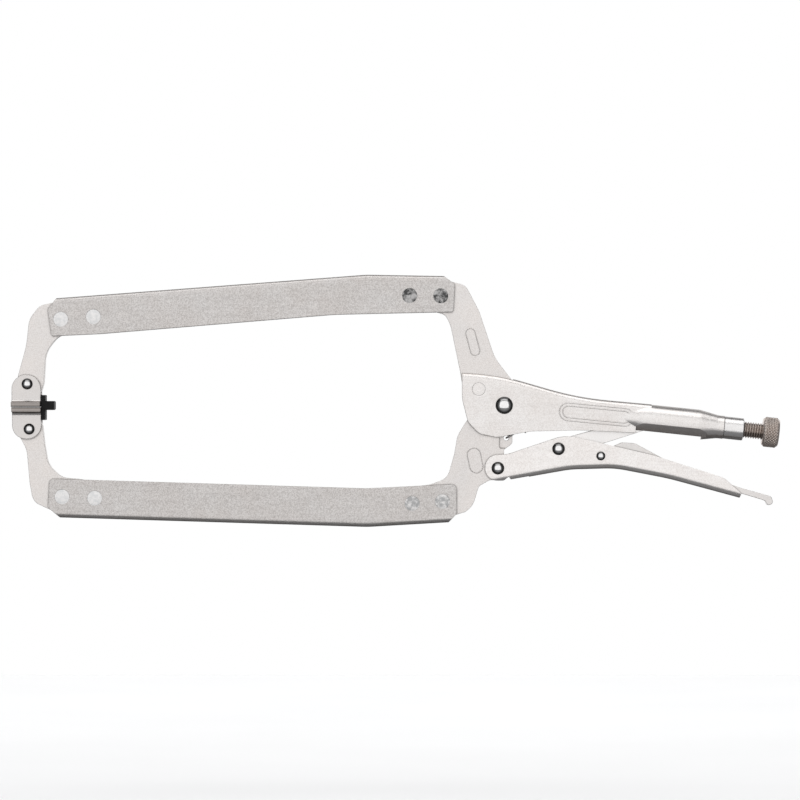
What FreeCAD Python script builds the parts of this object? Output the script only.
import FreeCAD, Part
import math
import os

import Sketcher

# A deep-reach locking C-clamp with swivel pads, closed and locked.
# Corners at the ends of a bend stay sharp, so that the bend doesn't run on round the cut edges.
# +X runs from the jaw tips to the handle, +Z is up and Y is across the sheet metal.
# The origin is the middle of the closed pads' meeting faces, on the mid-plane of the tool.

Vector = FreeCAD.Vector

DIMENSIONS = {
    # sheet and plate
    "sheet": 2.0,
    "inner_gap": 8.3,
    "plate": 8.0,
    "link_plate": 6.0,
    "release_width": 7.6,
    "tab_sheet": 2.0,
    "lug_sheet": 2.5,
    # bends of the pressings
    "arm_bend": 3.0,
    "handle_bend": 4.0,
    "lever_bend": 3.6,
    "pad_bend": 2.4,
    # pivots, each as a place in the XZ plane
    "main_pivot_x": 285.6,
    "main_pivot_z": 1.0,
    "lever_pivot_x": 281.8,
    "lever_pivot_z": -36.6,
    "link_pivot_x": 318.1,
    "link_pivot_z": -25.0,
    "link_end_x": 372.0,
    "link_end_z": -9.0,
    "release_pivot_x": 343.4,
    "release_pivot_z": -29.3,
    "upper_pad_pivot_x": 0.0,
    "upper_pad_pivot_z": 13.8,
    "lower_pad_pivot_x": 1.2,
    "lower_pad_pivot_z": -13.2,
    # rivet shanks, heads and crowns
    "main_shank": 3.9,
    "main_head": 5.2,
    "main_crown": 2.6,
    "lever_shank": 2.7,
    "lever_head": 3.8,
    "lever_crown": 2.3,
    "release_shank": 1.9,
    "release_head": 2.7,
    "release_crown": 1.6,
    "pad_shank": 2.2,
    "pad_head": 3.3,
    "pad_crown": 2.0,
    "flush_shank": 4.4,
    "flush_crown": 0.35,
    "cross_shank": 3.9,
    "cross_crown": 0.15,
    "lug_hole": 1.5,
    # fits
    "running_fit": 0.06,
    "snug_fit": 0.02,
    "head_play": 0.1,
    "pad_parting": 0.2,
    # swivel pads
    "pad_length": 17.4,
    "pad_width": 24.0,
    "pad_flange": 3.0,
    "pad_floor": 5.4,
    "pad_ear_height": 19.2,
    "pad_ear_round": 8.4,
    "pad_ear_sheet": 2.2,
    "bumper_width": 14.0,
    # adjusting screw, on an axis that leans down towards its head
    "screw_lean": 6.0,
    "collar_end_x": 429.2,
    "collar_end_z": -13.5,
    "collar_length": 12.0,
    "collar_outer": 6.7,
    "screw_major": 4.9,
    "screw_inner_end": 41.5,
    "nose_length": 6.8,
    "nose_radius": 3.5,
    "head_start": 11.4,
    "head_length": 9.8,
    "head_outer": 9.0,
    "head_socket_depth": 6.0,
    # return spring
    "spring_coil": 2.6,
    "spring_wire": 0.5,
    "spring_pitch": 1.3,
    "anchor_x": 323.0,
    "anchor_z": 1.0,
    "lug_x": 286.9,
    "lug_z": -18.6,
}

doc = FreeCAD.newDocument("locking_c_clamp")
sheet_object = doc.addObject("Spreadsheet::Sheet", "dims")
for row, (alias, number) in enumerate(DIMENSIONS.items(), start=1):
    sheet_object.set(f"A{row}", str(number))
    sheet_object.setAlias(f"A{row}", alias)
doc.recompute()

SHELL_WIDTH = "dims.inner_gap + 2 * dims.sheet"
EAR_WIDTH = "dims.inner_gap + 2 * dims.pad_ear_sheet"
THROUGH = 40.0
sub_parts = []


def size(alias):
    """A driving dimension, read from the sheet."""
    return float(sheet_object.get(alias))


def pivot(name):
    """The place of a pivot in the XZ plane."""
    return size(f"{name}_x"), size(f"{name}_z")


# ---------------------------------------------------------------- outlines


def rounded_outline(corners):
    """Closed outline of lines and tangent arcs, from (x, z, radius) corners."""
    starts = []
    ends = []
    arcs = []
    for index, (x, z, radius) in enumerate(corners):
        here = Vector(x, z, 0)
        before = Vector(*corners[index - 1][:2], 0)
        after = Vector(*corners[(index + 1) % len(corners)][:2], 0)
        back = (before - here).normalize()
        onward = (after - here).normalize()
        half_turn = (math.pi - back.getAngle(onward)) / 2
        reach = radius * math.tan(half_turn)
        starts.append(here + back * reach)
        ends.append(here + onward * reach)
        if radius > 0:
            inward = (back + onward).normalize()
            crest = here + inward * (radius / math.cos(half_turn) - radius)
            arcs.append(Part.Arc(starts[-1], crest, ends[-1]))
    lines = []
    for index, start in enumerate(starts):
        run = start - ends[index - 1]
        corner_run = Vector(*corners[index][:2], 0) - Vector(*corners[index - 1][:2], 0)
        if run.dot(corner_run) < 0:
            raise ValueError(f"the radii at corners {index - 1} and {index} overlap: {corners[index]}")
        if run.Length > 1e-4:
            lines.append(Part.LineSegment(ends[index - 1], start))
    return lines + arcs


# ---------------------------------------------------------------- features


def new_body(label):
    """An empty body for one sub-part."""
    body = doc.addObject("PartDesign::Body", label)
    body.Label = label
    sub_parts.append(body)
    return body


def sketch_in(body, name, geometry, place=(0.0, 0.0), lean=0.0, roll=0.0):
    """A sketch on the body's own XZ plane, moved in it, leaned in it and rolled about its own axis."""
    sketch = body.newObject("Sketcher::SketchObject", f"{body.Label}_{name}")
    plane = [item for item in body.Origin.OriginFeatures if item.Role == "XZ_Plane"][0]
    sketch.AttachmentSupport = (plane, "")
    sketch.MapMode = "FlatFace"
    turn = FreeCAD.Rotation(Vector(0, 0, 1), -lean).multiply(FreeCAD.Rotation(Vector(1, 0, 0), roll))
    sketch.AttachmentOffset = FreeCAD.Placement(Vector(place[0], place[1], 0), turn)
    sketch.addGeometry(geometry)
    return sketch


def add_circle(sketch, place, radius_expression):
    """A circle in the sketch whose radius follows the sheet."""
    centre = Vector(place[0], place[1], 0)
    index = sketch.addGeometry(Part.Circle(centre, Vector(0, 0, 1), 1.0))
    constraint = sketch.addConstraint(Sketcher.Constraint("Radius", index, 1.0))
    sketch.setExpression(f"Constraints[{constraint}]", radius_expression)


def pad(body, sketch, width_expression):
    """Material across the mid-plane."""
    feature = body.newObject("PartDesign::Pad", f"{sketch.Label}_pad")
    feature.Profile = sketch
    feature.SideType = "Symmetric"
    feature.setExpression("Length", width_expression)
    doc.recompute()
    return feature


def cut(body, sketch, width_expression):
    """A cut across the mid-plane, which has to remove something."""
    before = body.Shape.Volume
    feature = body.newObject("PartDesign::Pocket", f"{sketch.Label}_cut")
    feature.Profile = sketch
    feature.SideType = "Symmetric"
    feature.setExpression("Length", width_expression)
    doc.recompute()
    if body.Shape.Volume > before - 1e-3:
        raise RuntimeError(f"{sketch.Label} cuts nothing")
    return feature


def turn_about_axis(body, sketch, kind):
    """A full Revolution or Groove about the sketch's own horizontal axis."""
    before = body.Shape.Volume if kind == "Groove" else None
    feature = body.newObject(f"PartDesign::{kind}", f"{sketch.Label}_turned")
    feature.Profile = sketch
    feature.ReferenceAxis = (sketch, ["H_Axis"])
    feature.Angle = 360
    doc.recompute()
    if before is not None and body.Shape.Volume > before - 1e-3:
        raise RuntimeError(f"{sketch.Label} cuts nothing")
    return feature


def bend_edges(body, radius_expression, wanted):
    """Rounds the lengthwise edges whose middle point passes the test."""
    base = body.Tip
    names = []
    for index, edge in enumerate(base.Shape.Edges, start=1):
        middle = edge.valueAt((edge.FirstParameter + edge.LastParameter) / 2)
        along_side = abs(edge.Vertexes[0].Point.y - edge.Vertexes[-1].Point.y) < 1e-6
        if along_side and abs(middle.y) > 1.0 and wanted(middle):
            names.append(f"Edge{index}")
    feature = body.newObject("PartDesign::Fillet", f"{body.Label}_bends")
    feature.Base = (base, names)
    feature.setExpression("Radius", radius_expression)
    doc.recompute()
    if "Invalid" in feature.State:
        raise RuntimeError(f"{feature.Label} on {names}: {feature.State}")
    return feature


def drill(body, name, holes):
    """Round holes right through, from (place, radius expression) pairs."""
    sketch = sketch_in(body, name, [])
    for place, radius_expression in holes:
        add_circle(sketch, place, radius_expression)
    cut(body, sketch, str(THROUGH))


def plate(label, corners, holes, width="dims.plate"):
    """A flat plate of one outline with round holes."""
    body = new_body(label)
    pad(body, sketch_in(body, "outline", rounded_outline(corners)), width)
    if holes:
        drill(body, "holes", holes)
    return body


def rivet(label, place, shank, head, crown, grip):
    """A solid rivet across the tool: a shank between two domed heads."""
    radius = f"dims.{shank}"
    bulge = f"((dims.{head} ^ 2 + dims.{crown} ^ 2) / (2 * dims.{crown}))"
    latitude = f"asin((dims.{head} ^ 2 - dims.{crown} ^ 2) / (dims.{head} ^ 2 + dims.{crown} ^ 2))"
    shank_object = doc.addObject("Part::Cylinder", f"{label}_shank")
    shank_object.setExpression("Radius", radius)
    shank_object.setExpression("Height", grip)
    shank_object.setExpression("Placement.Base.z", f"-({grip}) / 2")
    domes = []
    for side, first, last in ((1, latitude, "90"), (-1, "-90", f"-{latitude}")):
        dome = doc.addObject("Part::Sphere", f"{label}_dome")
        dome.setExpression("Radius", bulge)
        dome.setExpression("Angle1", first)
        dome.setExpression("Angle2", last)
        dome.setExpression("Placement.Base.z", f"{side} * (({grip}) / 2 - {bulge} + dims.{crown})")
        domes.append(dome)
    whole = doc.addObject("Part::MultiFuse", label)
    whole.Label = label
    whole.Shapes = [shank_object] + domes
    whole.Placement = FreeCAD.Placement(Vector(place[0], 0, place[1]), FreeCAD.Rotation(Vector(1, 0, 0), 90))
    sub_parts.append(whole)
    return whole


# ---------------------------------------------------------------- places used by several pieces

MAIN_PIVOT = pivot("main_pivot")
LEVER_PIVOT = pivot("lever_pivot")
LINK_PIVOT = pivot("link_pivot")
LINK_END = pivot("link_end")
RELEASE_PIVOT = pivot("release_pivot")
UPPER_PAD_PIVOT = pivot("upper_pad_pivot")
LOWER_PAD_PIVOT = pivot("lower_pad_pivot")
COLLAR_END = pivot("collar_end")
SPRING_ANCHOR = pivot("anchor")
SPRING_LUG = pivot("lug")
ROOT_CROSS_RIVET = (270.3, 10.7)
UPPER_TIP_RIVETS = [(20.1, 52.5), (39.6, 54.0)]
UPPER_ROOT_RIVETS = [(229.0, 66.7), (247.6, 66.5)]
LOWER_TIP_RIVETS = [(20.9, -53.8), (40.4, -54.6)]
LOWER_ROOT_RIVETS = [(230.5, -57.8), (248.6, -56.6)]

FLUSH_HOLE = "dims.flush_shank + dims.snug_fit"
MAIN_HOLE = "dims.main_shank + dims.snug_fit"
MAIN_RUNNING = "dims.main_shank + dims.running_fit"
LEVER_RUNNING = "dims.lever_shank + dims.running_fit"
LEVER_HOLE = "dims.lever_shank + dims.snug_fit"
RELEASE_HOLE = "dims.release_shank + dims.snug_fit"
RELEASE_RUNNING = "dims.release_shank + dims.running_fit"
PAD_HOLE = "dims.pad_shank + dims.snug_fit"
PAD_RUNNING = "dims.pad_shank + dims.running_fit"


# ---------------------------------------------------------------- fixed side

HANDLE_WEB = [(281.8, 19.6, 150), (329.9, 5.65, 190)]
HANDLE_REAR_TOP = (374.0, 1.6)
WEB_FRONT = 291.0
SLOT_END = 379.5


def handle_body():
    """The fixed handle: a U channel, open below, that closes into a round tube at its rear."""
    body = new_body("handle_body")
    side = [
        (260.4, 20.9, 0),
        *HANDLE_WEB,
        (*HANDLE_REAR_TOP, 0),
        (374.0, -15.9, 0),
        (332.0, -13.9, 200),
        (301.0, -14.6, 40),
        (281.5, -18.2, 12),
        (270.5, -15.9, 8),
        (264.0, -9.0, 7),
        (260.5, 4.5, 18),
    ]
    pad(body, sketch_in(body, "side", rounded_outline(side)), SHELL_WIDTH)
    bend_edges(body, "dims.handle_bend", lambda p: p.x > 262 and p.z > 0.3 and p.x < 373.9)

    # the tube swells out of the flat walls, runs straight and necks down to the collar
    tube = [(-80, 0, 0), (-80, 4.4, 0), (-60, 9.0, 16), (-27, 9.1, 9), (-15.5, 6.9, 8), (-12, 6.9, 0), (-12, 0, 0)]
    axis = {"place": COLLAR_END, "lean": size("screw_lean")}
    turn_about_axis(body, sketch_in(body, "tube", rounded_outline(tube), **axis), "Revolution")

    # below, the tube is pressed to a flat on each side
    flat = [(-64.5, -7.9, 0), (-64.5, -20, 0), (-22, -20, 0), (-22, -7.9, 0)]
    for name, roll in (("flat_front", 45), ("flat_back", -45)):
        cut(body, sketch_in(body, name, rounded_outline(flat), roll=roll, **axis), "2 * dims.pad_width")

    inside = [
        (240.0, -40.0, 0),
        (240.0, 40.0, 0),
        (WEB_FRONT, 40.0, 0),
        (WEB_FRONT, 14.9, 0),
        (HANDLE_WEB[1][0], HANDLE_WEB[1][1] - size("sheet"), 100),
        (SLOT_END, -0.9, 0),
        (SLOT_END, -40.0, 0),
    ]
    cut(body, sketch_in(body, "inside", rounded_outline(inside)), "dims.inner_gap")
    bore = [(-62, 0, 0), (-62, 4.1, 0), (-58, 6.6, 0), (-26, 6.6, 3), (-18, 5.4, 2), (-11, 5.4, 0), (-11, 0, 0)]
    turn_about_axis(body, sketch_in(body, "bore", rounded_outline(bore), **axis), "Groove")

    # the tube's seam stays open below as far as its neck
    seam = [(-54, 0, 0), (-54, -20, 0), (-25, -20, 0), (-25, 0, 0)]
    cut(body, sketch_in(body, "seam", rounded_outline(seam), **axis), "dims.inner_gap")

    # a lanced tab under the web holds the rear hook of the return spring
    tab = [(319.5, 8.0, 0), (327.5, 5.6, 0), (327.5, -1.0, 2), (319.5, -1.0, 2)]
    pad(body, sketch_in(body, "tab", rounded_outline(tab)), "dims.tab_sheet")
    drill(
        body,
        "holes",
        [
            (ROOT_CROSS_RIVET, "dims.cross_shank + dims.snug_fit"),
            (MAIN_PIVOT, MAIN_HOLE),
        ],
    )
    hole = sketch_in(body, "tab_hole", [])
    add_circle(hole, SPRING_ANCHOR, "dims.lug_hole")
    cut(body, hole, "2 * dims.tab_sheet")
    return body


def threaded_collar():
    """The bush at the end of the tube, which the screw turns in."""
    body = new_body("threaded_collar")
    bore = size("screw_major") + size("running_fit")
    outer = size("collar_outer")
    length = size("collar_length")
    ring = [(-length, bore, 0), (-length, outer, 0.5), (0, outer, 0.8), (0, bore, 0)]
    axis = {"place": COLLAR_END, "lean": size("screw_lean")}
    turn_about_axis(body, sketch_in(body, "ring", rounded_outline(ring), **axis), "Revolution")
    return body


UPPER_WEB = [(17.4, 65.2, 0), (203.0, 79.3, 60), (249.5, 78.5, 0)]
LOWER_WEB = [(19.6, -66.2, 0), (204.0, -71.9, 80), (252.3, -69.1, 0)]
ARM_OVERRUN = 12.0


def upper_arm_channel():
    """The upper arm, a pressed channel with its web on the outer side."""
    body = new_body("upper_arm_channel")
    side = [
        (14.6, 42.5, 1.5),
        (12.2, 58.5, 1.5),
        *UPPER_WEB,
        (256.0, 73.6, 2),
        (255.2, 57.0, 1.5),
        (184.0, 55.4, 150),
        (43.2, 43.8, 120),
    ]
    pad(body, sketch_in(body, "side", rounded_outline(side)), SHELL_WIDTH)
    bend_edges(body, "dims.arm_bend", lambda p: 17.6 < p.x < 249.4 and p.z > 64.9)
    inside = [
        (UPPER_WEB[0][0] - ARM_OVERRUN, UPPER_WEB[0][1] - 2.9, 0),
        (UPPER_WEB[1][0], UPPER_WEB[1][1] - size("sheet"), 60),
        (UPPER_WEB[2][0] + ARM_OVERRUN, UPPER_WEB[2][1] - 2.2, 0),
        (UPPER_WEB[2][0] + ARM_OVERRUN, 30, 0),
        (UPPER_WEB[0][0] - ARM_OVERRUN, 30, 0),
    ]
    cut(body, sketch_in(body, "inside", rounded_outline(inside)), "dims.inner_gap")
    drill(body, "holes", [(place, FLUSH_HOLE) for place in UPPER_TIP_RIVETS + UPPER_ROOT_RIVETS])
    return body


def lower_arm_channel():
    """The lower arm, a pressed channel with its web below."""
    body = new_body("lower_arm_channel")
    side = [
        (13.3, -43.1, 2.5),
        (203.0, -48.9, 90),
        (257.1, -46.3, 3),
        (257.1, -64.0, 2),
        *reversed(LOWER_WEB),
        (12.4, -60.2, 2),
    ]
    pad(body, sketch_in(body, "side", rounded_outline(side)), SHELL_WIDTH)
    bend_edges(body, "dims.arm_bend", lambda p: 20 < p.x < 252 and p.z < -66.1)
    inside = [
        (LOWER_WEB[0][0] - ARM_OVERRUN, LOWER_WEB[0][1] + 2.4, 0),
        (LOWER_WEB[1][0], LOWER_WEB[1][1] + size("sheet"), 80),
        (LOWER_WEB[2][0] + ARM_OVERRUN, LOWER_WEB[2][1] + 2.7, 0),
        (LOWER_WEB[2][0] + ARM_OVERRUN, -30, 0),
        (LOWER_WEB[0][0] - ARM_OVERRUN, -30, 0),
    ]
    cut(body, sketch_in(body, "inside", rounded_outline(inside)), "dims.inner_gap")
    drill(body, "holes", [(place, FLUSH_HOLE) for place in LOWER_TIP_RIVETS + LOWER_ROOT_RIVETS])
    return body


def upper_jaw_root():
    """The plate that joins the upper arm to the handle."""
    corners = [
        (219.0, 57.2, 2),
        (219.0, 76.3, 2),
        (250.5, 76.1, 1),
        (262.6, 72.9, 7),
        (270.6, 57.5, 25),
        (280.0, 29.5, 25),
        (290.6, 15.6, 2),
        (290.6, 12.3, 1),
        (281.0, 11.8, 5),
        (274.6, 5.6, 2),
        (274.6, 3.2, 1.5),
        (262.2, 3.2, 1.5),
        (259.2, 21.6, 30),
        (253.4, 49.5, 20),
        (250.2, 55.4, 5),
        (243.5, 57.2, 5),
    ]
    holes = [(ROOT_CROSS_RIVET, "dims.cross_shank + dims.snug_fit")]
    holes += [(place, FLUSH_HOLE) for place in UPPER_ROOT_RIVETS]
    return plate("upper_jaw_root", corners, holes)


def lower_jaw_root():
    """The plate that carries the lower arm, the lever's pivot and the spring's lug."""
    corners = [
        (276.5, 10.1, 9.0),
        (294.7, 10.1, 9.0),
        (294.7, -5.0, 10),
        (290.6, -14.5, 10),
        (290.6, -22.0, 3.4),
        (285.5, -25.6, 1.2),
        (285.5, -29.6, 2),
        (289.0, -31.6, 1.5),
        (289.0, -43.8, 7.0),
        (277.0, -43.8, 3),
        (270.4, -47.5, 3),
        (267.0, -59.0, 12),
        (262.4, -62.9, 5),
        (251.0, -66.3, 3),
        (219.5, -68.4, 2),
        (219.5, -49.4, 2),
        (241.0, -46.6, 10),
        (251.6, -42.8, 9),
        (255.8, -28.0, 30),
        (257.6, -17.3, 14),
        (263.6, -7.5, 4),
        (267.8, -3.4, 3),
        (276.5, -0.4, 1.5),
    ]
    holes = [(MAIN_PIVOT, MAIN_RUNNING), (LEVER_PIVOT, LEVER_HOLE), (SPRING_LUG, "dims.lug_hole")]
    holes += [(place, FLUSH_HOLE) for place in LOWER_ROOT_RIVETS]
    body = plate("lower_jaw_root", corners, holes)

    # the lug is thinned on both sides so that the hook can pass round it
    thinned = [(282.6, -14.6, 1.5), (296.0, -14.6, 0), (296.0, -24.9, 0), (282.6, -24.9, 1.5)]
    for name, side in (("lug_front", 1), ("lug_back", -1)):
        sketch = sketch_in(body, name, rounded_outline(thinned))
        sketch.AttachmentOffset = FreeCAD.Placement(Vector(0, 0, side * size("plate") / 2), FreeCAD.Rotation())
        cut(body, sketch, "dims.plate - dims.lug_sheet")
    return body


def upper_tip():
    """The forged tip that carries the upper swivel pad."""
    corners = [
        (-7.5, 6.3, 7.2),
        (-5.7, 18.5, 30),
        (-0.6, 37.0, 60),
        (0.9, 52.5, 14),
        (7.4, 60.8, 8),
        (14.0, 62.3, 2),
        (50.0, 65.0, 2),
        (50.0, 46.4, 2),
        (19.0, 43.3, 12),
        (10.9, 33.0, 16),
        (9.8, 14.5, 5),
        (7.4, 6.3, 6.5),
    ]
    holes = [(UPPER_PAD_PIVOT, PAD_HOLE)] + [(place, FLUSH_HOLE) for place in UPPER_TIP_RIVETS]
    return plate("upper_tip", corners, holes)


def lower_tip():
    """The forged tip that carries the lower swivel pad."""
    corners = [
        (-5.9, -6.0, 6.8),
        (8.4, -6.0, 6.8),
        (10.2, -22.0, 30),
        (12.4, -34.8, 14),
        (20.6, -42.4, 10),
        (30.0, -43.1, 10),
        (50.0, -46.3, 2),
        (50.0, -64.7, 2),
        (19.0, -63.7, 2),
        (13.2, -61.3, 2),
        (3.4, -56.8, 8),
        (1.4, -46.0, 40),
        (-0.4, -25.5, 16),
        (-5.6, -16.0, 8),
    ]
    holes = [(LOWER_PAD_PIVOT, PAD_HOLE)] + [(place, FLUSH_HOLE) for place in LOWER_TIP_RIVETS]
    return plate("lower_tip", corners, holes)


# ---------------------------------------------------------------- swivel pads


def swivel_pad(label, place, up, inner_end):
    """A pressed pad: two ears on a wider flanged base. up is 1 above the parting, -1 below it."""
    body = new_body(label)
    face = up * size("pad_parting") / 2
    outer_end = inner_end - size("pad_length")
    ear_top = up * size("pad_ear_height")
    ear_round = size("pad_ear_round")
    ears = [
        (outer_end, face, 0),
        (outer_end, ear_top, ear_round),
        (inner_end, ear_top, ear_round),
        (inner_end, face, 0),
    ]
    pad(body, sketch_in(body, "ears", rounded_outline(ears)), EAR_WIDTH)
    flange_top = up * size("pad_flange")
    flange = [
        (outer_end, face, 0),
        (outer_end, flange_top, 0),
        (inner_end, flange_top, 0),
        (inner_end, face, 0),
    ]
    pad(body, sketch_in(body, "flange", rounded_outline(flange)), "dims.pad_width")
    root_edge = size("inner_gap") / 2 + size("pad_ear_sheet")
    bend_edges(
        body,
        "dims.pad_bend",
        lambda p: abs(abs(p.y) - root_edge) < 1e-3 and abs(p.z - flange_top) < 1e-3,
    )
    floor = up * size("pad_floor")
    gap = [
        (outer_end - 5, floor, 0),
        (outer_end - 5, up * 40, 0),
        (inner_end + 5, up * 40, 0),
        (inner_end + 5, floor, 0),
    ]
    cut(body, sketch_in(body, "gap", rounded_outline(gap)), "dims.inner_gap")
    drill(body, "hole", [(place, PAD_RUNNING)])
    return body


PAD_INNER_END = 8.4
BUMPER_PLAY = 0.3


def pad_bumper():
    """A small black T against the pads' inner ends, held by the lower pad."""
    corners = [
        (8.4, -7.8, 0.4),
        (8.4, 7.2, 0.4),
        (10.8, 7.2, 0.5),
        (10.8, 3.6, 0.2),
        (16.2, 3.6, 0.9),
        (16.2, -1.8, 0.9),
        (10.8, -1.8, 0.2),
        (10.8, -7.8, 0.5),
    ]
    return plate("pad_bumper", corners, [], "dims.bumper_width")


# ---------------------------------------------------------------- lever, link and release lever

LEVER_WEB = [(384.0, -42.9, 150), (352.0, -36.7, 60), (325.0, -37.5, 60)]
LEVER_WEB_FRONT = 300.5


def lever_shell():
    """The closing lever: a U pressing with its web below and open ears at the pivot."""
    body = new_body("lever_shell")
    side = [
        (274.2, -29.1, 7.3),
        (288.0, -28.3, 14),
        (322.5, -16.7, 24),
        (375.0, -28.9, 80),
        (417.3, -42.4, 10),
        (427.7, -51.8, 1.2),
        (426.6, -54.4, 0),
        *LEVER_WEB,
        (289.9, -43.7, 0),
        (288.3, -41.6, 0.8),
        (285.5, -44.1, 3),
        (274.2, -44.1, 7.3),
    ]
    pad(body, sketch_in(body, "side", rounded_outline(side)), SHELL_WIDTH)
    bend_edges(body, "dims.lever_bend", lambda p: 291 < p.x < 426 and p.z < -34 - 0.3 * max(0, p.x - 374))
    inside = [
        (LEVER_WEB_FRONT, -60.0, 0),
        (LEVER_WEB_FRONT, -39.7, 1),
        *[(x, z + size("sheet"), radius) for x, z, radius in reversed(LEVER_WEB)],
        (440.0, -55.9, 0),
        (440.0, 5.0, 0),
        (265.0, 5.0, 0),
        (265.0, -60.0, 0),
    ]
    cut(body, sketch_in(body, "inside", rounded_outline(inside)), "dims.inner_gap")
    drill(body, "holes", [(LEVER_PIVOT, LEVER_RUNNING), (LINK_PIVOT, LEVER_HOLE), (RELEASE_PIVOT, RELEASE_HOLE)])
    return body


def toggle_link():
    """The strut between the lever and the screw, straight with round ends."""
    start = Vector(*LINK_PIVOT, 0)
    end = Vector(*LINK_END, 0)
    along = (end - start).normalize()
    across = Vector(-along.y, along.x, 0)
    start_radius = 5.3
    end_radius = 4.0
    corners = []
    for centre, radius, ahead in ((start, start_radius, -1), (end, end_radius, 1)):
        for side in (ahead, -ahead):
            corner = centre + along * (ahead * radius) + across * (-side * radius)
            corners.append((corner.x, corner.y, radius * 0.97))
    return plate("toggle_link", corners, [(LINK_PIVOT, LEVER_RUNNING)], "dims.link_plate")


def release_lever():
    """A bent strap inside the closing lever: pivot boss, hump under the link and finger tail."""
    corners = [
        (339.7, -33.0, 3.6),
        (339.7, -25.5, 3.6),
        (347.0, -25.3, 3),
        (356.2, -21.2, 4),
        (364.0, -21.7, 5),
        (379.8, -30.3, 20),
        (401.0, -39.3, 40),
        (427.0, -48.3, 30),
        (445.6, -53.5, 2.4),
        (447.2, -58.1, 2.0),
        (443.4, -58.9, 1.2),
        (442.0, -56.1, 2),
        (425.5, -51.2, 20),
        (400.3, -42.4, 40),
        (379.0, -33.6, 20),
        (364.0, -28.0, 4),
        (356.6, -29.0, 4),
        (348.0, -33.0, 3.5),
    ]
    return plate("release_lever", corners, [(RELEASE_PIVOT, RELEASE_RUNNING)], "dims.release_width")


# ---------------------------------------------------------------- adjusting screw


def turned_piece(label, profile):
    """A round piece about the screw's axis, from (distance past the collar, radius, rounding)."""
    body = new_body(label)
    axis = {"place": COLLAR_END, "lean": size("screw_lean")}
    turn_about_axis(body, sketch_in(body, "profile", rounded_outline(profile), **axis), "Revolution")
    return body


def adjusting_screw():
    """The screw's threaded shank, drawn to its outer diameter."""
    inner = -size("screw_inner_end")
    outer = size("head_start") + size("head_socket_depth") - 0.2
    radius = size("screw_major")
    return turned_piece("adjusting_screw", [(inner, 0, 0), (inner, radius, 0.8), (outer, radius, 0.4), (outer, 0, 0)])


def screw_nose():
    """The screw's plain point, which the toggle link bears on."""
    outer = -size("screw_inner_end") - 0.1
    inner = outer - size("nose_length")
    radius = size("nose_radius")
    return turned_piece("screw_nose", [(inner, 0, 0), (inner, radius, 1.6), (outer, radius, 0), (outer, 0, 0)])


def knurled_head():
    """The finger head, pressed on the shank."""
    start = size("head_start")
    end = start + size("head_length")
    socket_end = start + size("head_socket_depth")
    socket = size("screw_major") + size("snug_fit")
    outer = size("head_outer")
    chamfer = 1.1
    profile = [
        (start, socket, 0),
        (start, outer - chamfer, 0),
        (start + chamfer, outer, 0),
        (end - chamfer, outer, 0),
        (end, outer - chamfer, 0),
        (end, 0, 0),
        (socket_end, 0, 0),
        (socket_end, socket, 0),
    ]
    return turned_piece("knurled_head", profile)


# ---------------------------------------------------------------- return spring


def return_spring():
    """Tension spring between the lower root's lug and the handle's tab, with a ring hook at each end."""
    front = Vector(SPRING_LUG[0], 0, SPRING_LUG[1])
    rear = Vector(SPRING_ANCHOR[0], 0, SPRING_ANCHOR[1])
    along = (rear - front).normalize()
    coil = size("spring_coil")
    wire = size("spring_wire")
    pitch = size("spring_pitch")
    span = (rear - front).Length
    hook = 4 * coil
    turns = int((span - 2 * hook) / pitch)
    length = turns * pitch
    start = front + along * ((span - length) / 2)
    helix = Part.makeHelix(pitch, length, coil)
    section = Part.Wire(Part.Circle(Vector(coil, 0, 0), Vector(0, 1, 0), wire).toShape())
    coils = Part.Wire(helix.Edges).makePipeShell([section], True, True)
    coils.Placement = FreeCAD.Placement(start, FreeCAD.Rotation(Vector(0, 0, 1), along))

    hooks = []
    for end, direction in ((front, along), (rear, along * -1)):
        centre = end + direction * coil
        turn = FreeCAD.Rotation(Vector(0, 0, 1), Vector(-direction.z, 0, direction.x))
        ring = Part.makeTorus(coil, wire)
        ring.Placement = FreeCAD.Placement(centre, turn)
        reach = (span - length) / 2 - 2 * coil + wire
        stem = Part.makeCylinder(wire, reach, centre + direction * coil, direction)
        bridge_start = centre + direction * (coil + reach - wire)
        hooks.append(ring.fuse(stem))
        hooks.append(Part.makeCylinder(coil + wire * 0.9, wire * 1.8, bridge_start, direction))
    whole = coils
    for piece in hooks:
        whole = whole.fuse(piece)
    feature = doc.addObject("Part::Feature", "return_spring")
    feature.Label = "return_spring"
    feature.Shape = whole
    feature.Placement = FreeCAD.Placement()
    sub_parts.append(feature)
    return feature


# ---------------------------------------------------------------- assembly


def channel_rivets():
    """The eight flush rivets that hold the tips and the root plates in the arms."""
    groups = {
        "upper_tip_rivet": UPPER_TIP_RIVETS,
        "upper_root_rivet": UPPER_ROOT_RIVETS,
        "lower_tip_rivet": LOWER_TIP_RIVETS,
        "lower_root_rivet": LOWER_ROOT_RIVETS,
    }
    for name, places in groups.items():
        for number, place in enumerate(places, start=1):
            rivet(f"{name}_{number}", place, "flush_shank", "flush_shank", "flush_crown", SHELL_WIDTH)


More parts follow.
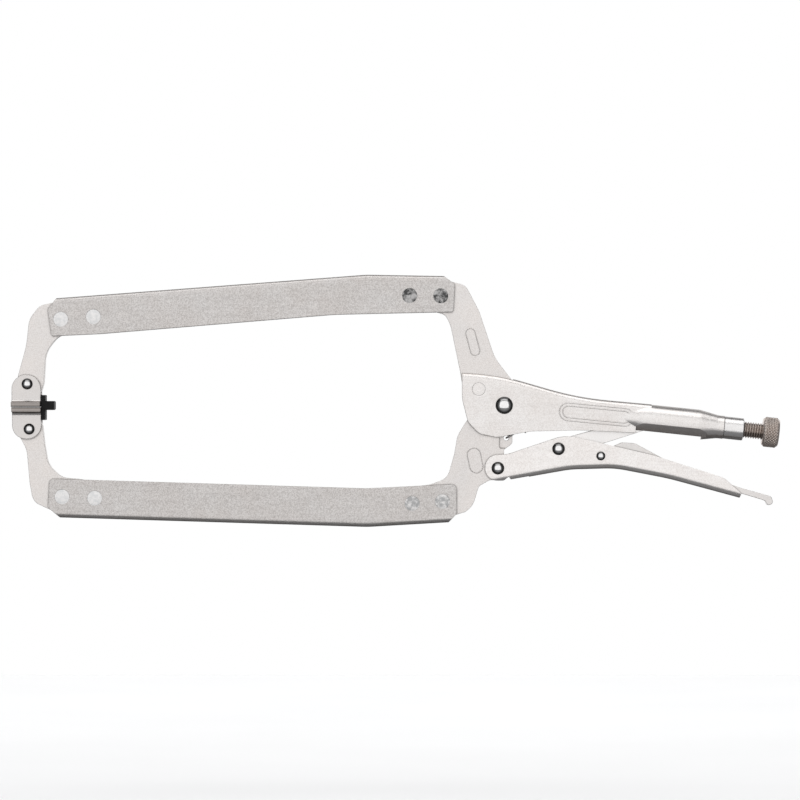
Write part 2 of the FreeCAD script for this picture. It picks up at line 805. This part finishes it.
def pivot_rivets():
    """The domed rivets of the joints and the flush one through the handle."""
    loose_shell = SHELL_WIDTH + " + 2 * dims.head_play"
    loose_ears = EAR_WIDTH + " + 2 * dims.head_play"
    rivet("root_cross_rivet", ROOT_CROSS_RIVET, "cross_shank", "cross_shank", "cross_crown", SHELL_WIDTH)
    rivet("main_pivot_rivet", MAIN_PIVOT, "main_shank", "main_head", "main_crown", SHELL_WIDTH)
    rivet("lever_pivot_rivet", LEVER_PIVOT, "lever_shank", "lever_head", "lever_crown", loose_shell)
    rivet("link_pivot_rivet", LINK_PIVOT, "lever_shank", "lever_head", "lever_crown", SHELL_WIDTH)
    rivet("release_pivot_rivet", RELEASE_PIVOT, "release_shank", "release_head", "release_crown", SHELL_WIDTH)
    rivet("upper_pad_rivet", UPPER_PAD_PIVOT, "pad_shank", "pad_head", "pad_crown", loose_ears)
    rivet("lower_pad_rivet", LOWER_PAD_PIVOT, "pad_shank", "pad_head", "pad_crown", loose_ears)


def export_sub_parts():
    """Checks every object, then writes one STEP file for each sub-part."""
    doc.recompute()
    for item in doc.Objects:
        if "Invalid" in item.State or "Error" in item.State:
            raise RuntimeError(f"{item.Label} did not recompute: {item.State}")
    os.makedirs("parts", exist_ok=True)
    for item in sub_parts:
        shape = item.Shape
        if shape.isNull() or not shape.isValid() or not shape.Solids:
            raise RuntimeError(f"{item.Label} has no valid solid")
        box = shape.BoundBox
        print(
            f"{item.Label:22s} solids {len(shape.Solids)}  volume {shape.Volume:9.1f}  "
            f"x {box.XMin:7.1f} {box.XMax:7.1f}  y {box.YMin:6.2f} {box.YMax:6.2f}  z {box.ZMin:6.1f} {box.ZMax:6.1f}"
        )
        shape.exportStep(f"parts/{item.Label}.step")


handle_body()
threaded_collar()
upper_jaw_root()
upper_arm_channel()
upper_tip()
lower_jaw_root()
lower_arm_channel()
lower_tip()
channel_rivets()
pivot_rivets()
swivel_pad("upper_pad", UPPER_PAD_PIVOT, 1, PAD_INNER_END - BUMPER_PLAY)
swivel_pad("lower_pad", LOWER_PAD_PIVOT, -1, PAD_INNER_END)
pad_bumper()
lever_shell()
toggle_link()
release_lever()
adjusting_screw()
screw_nose()
knurled_head()
return_spring()
export_sub_parts()
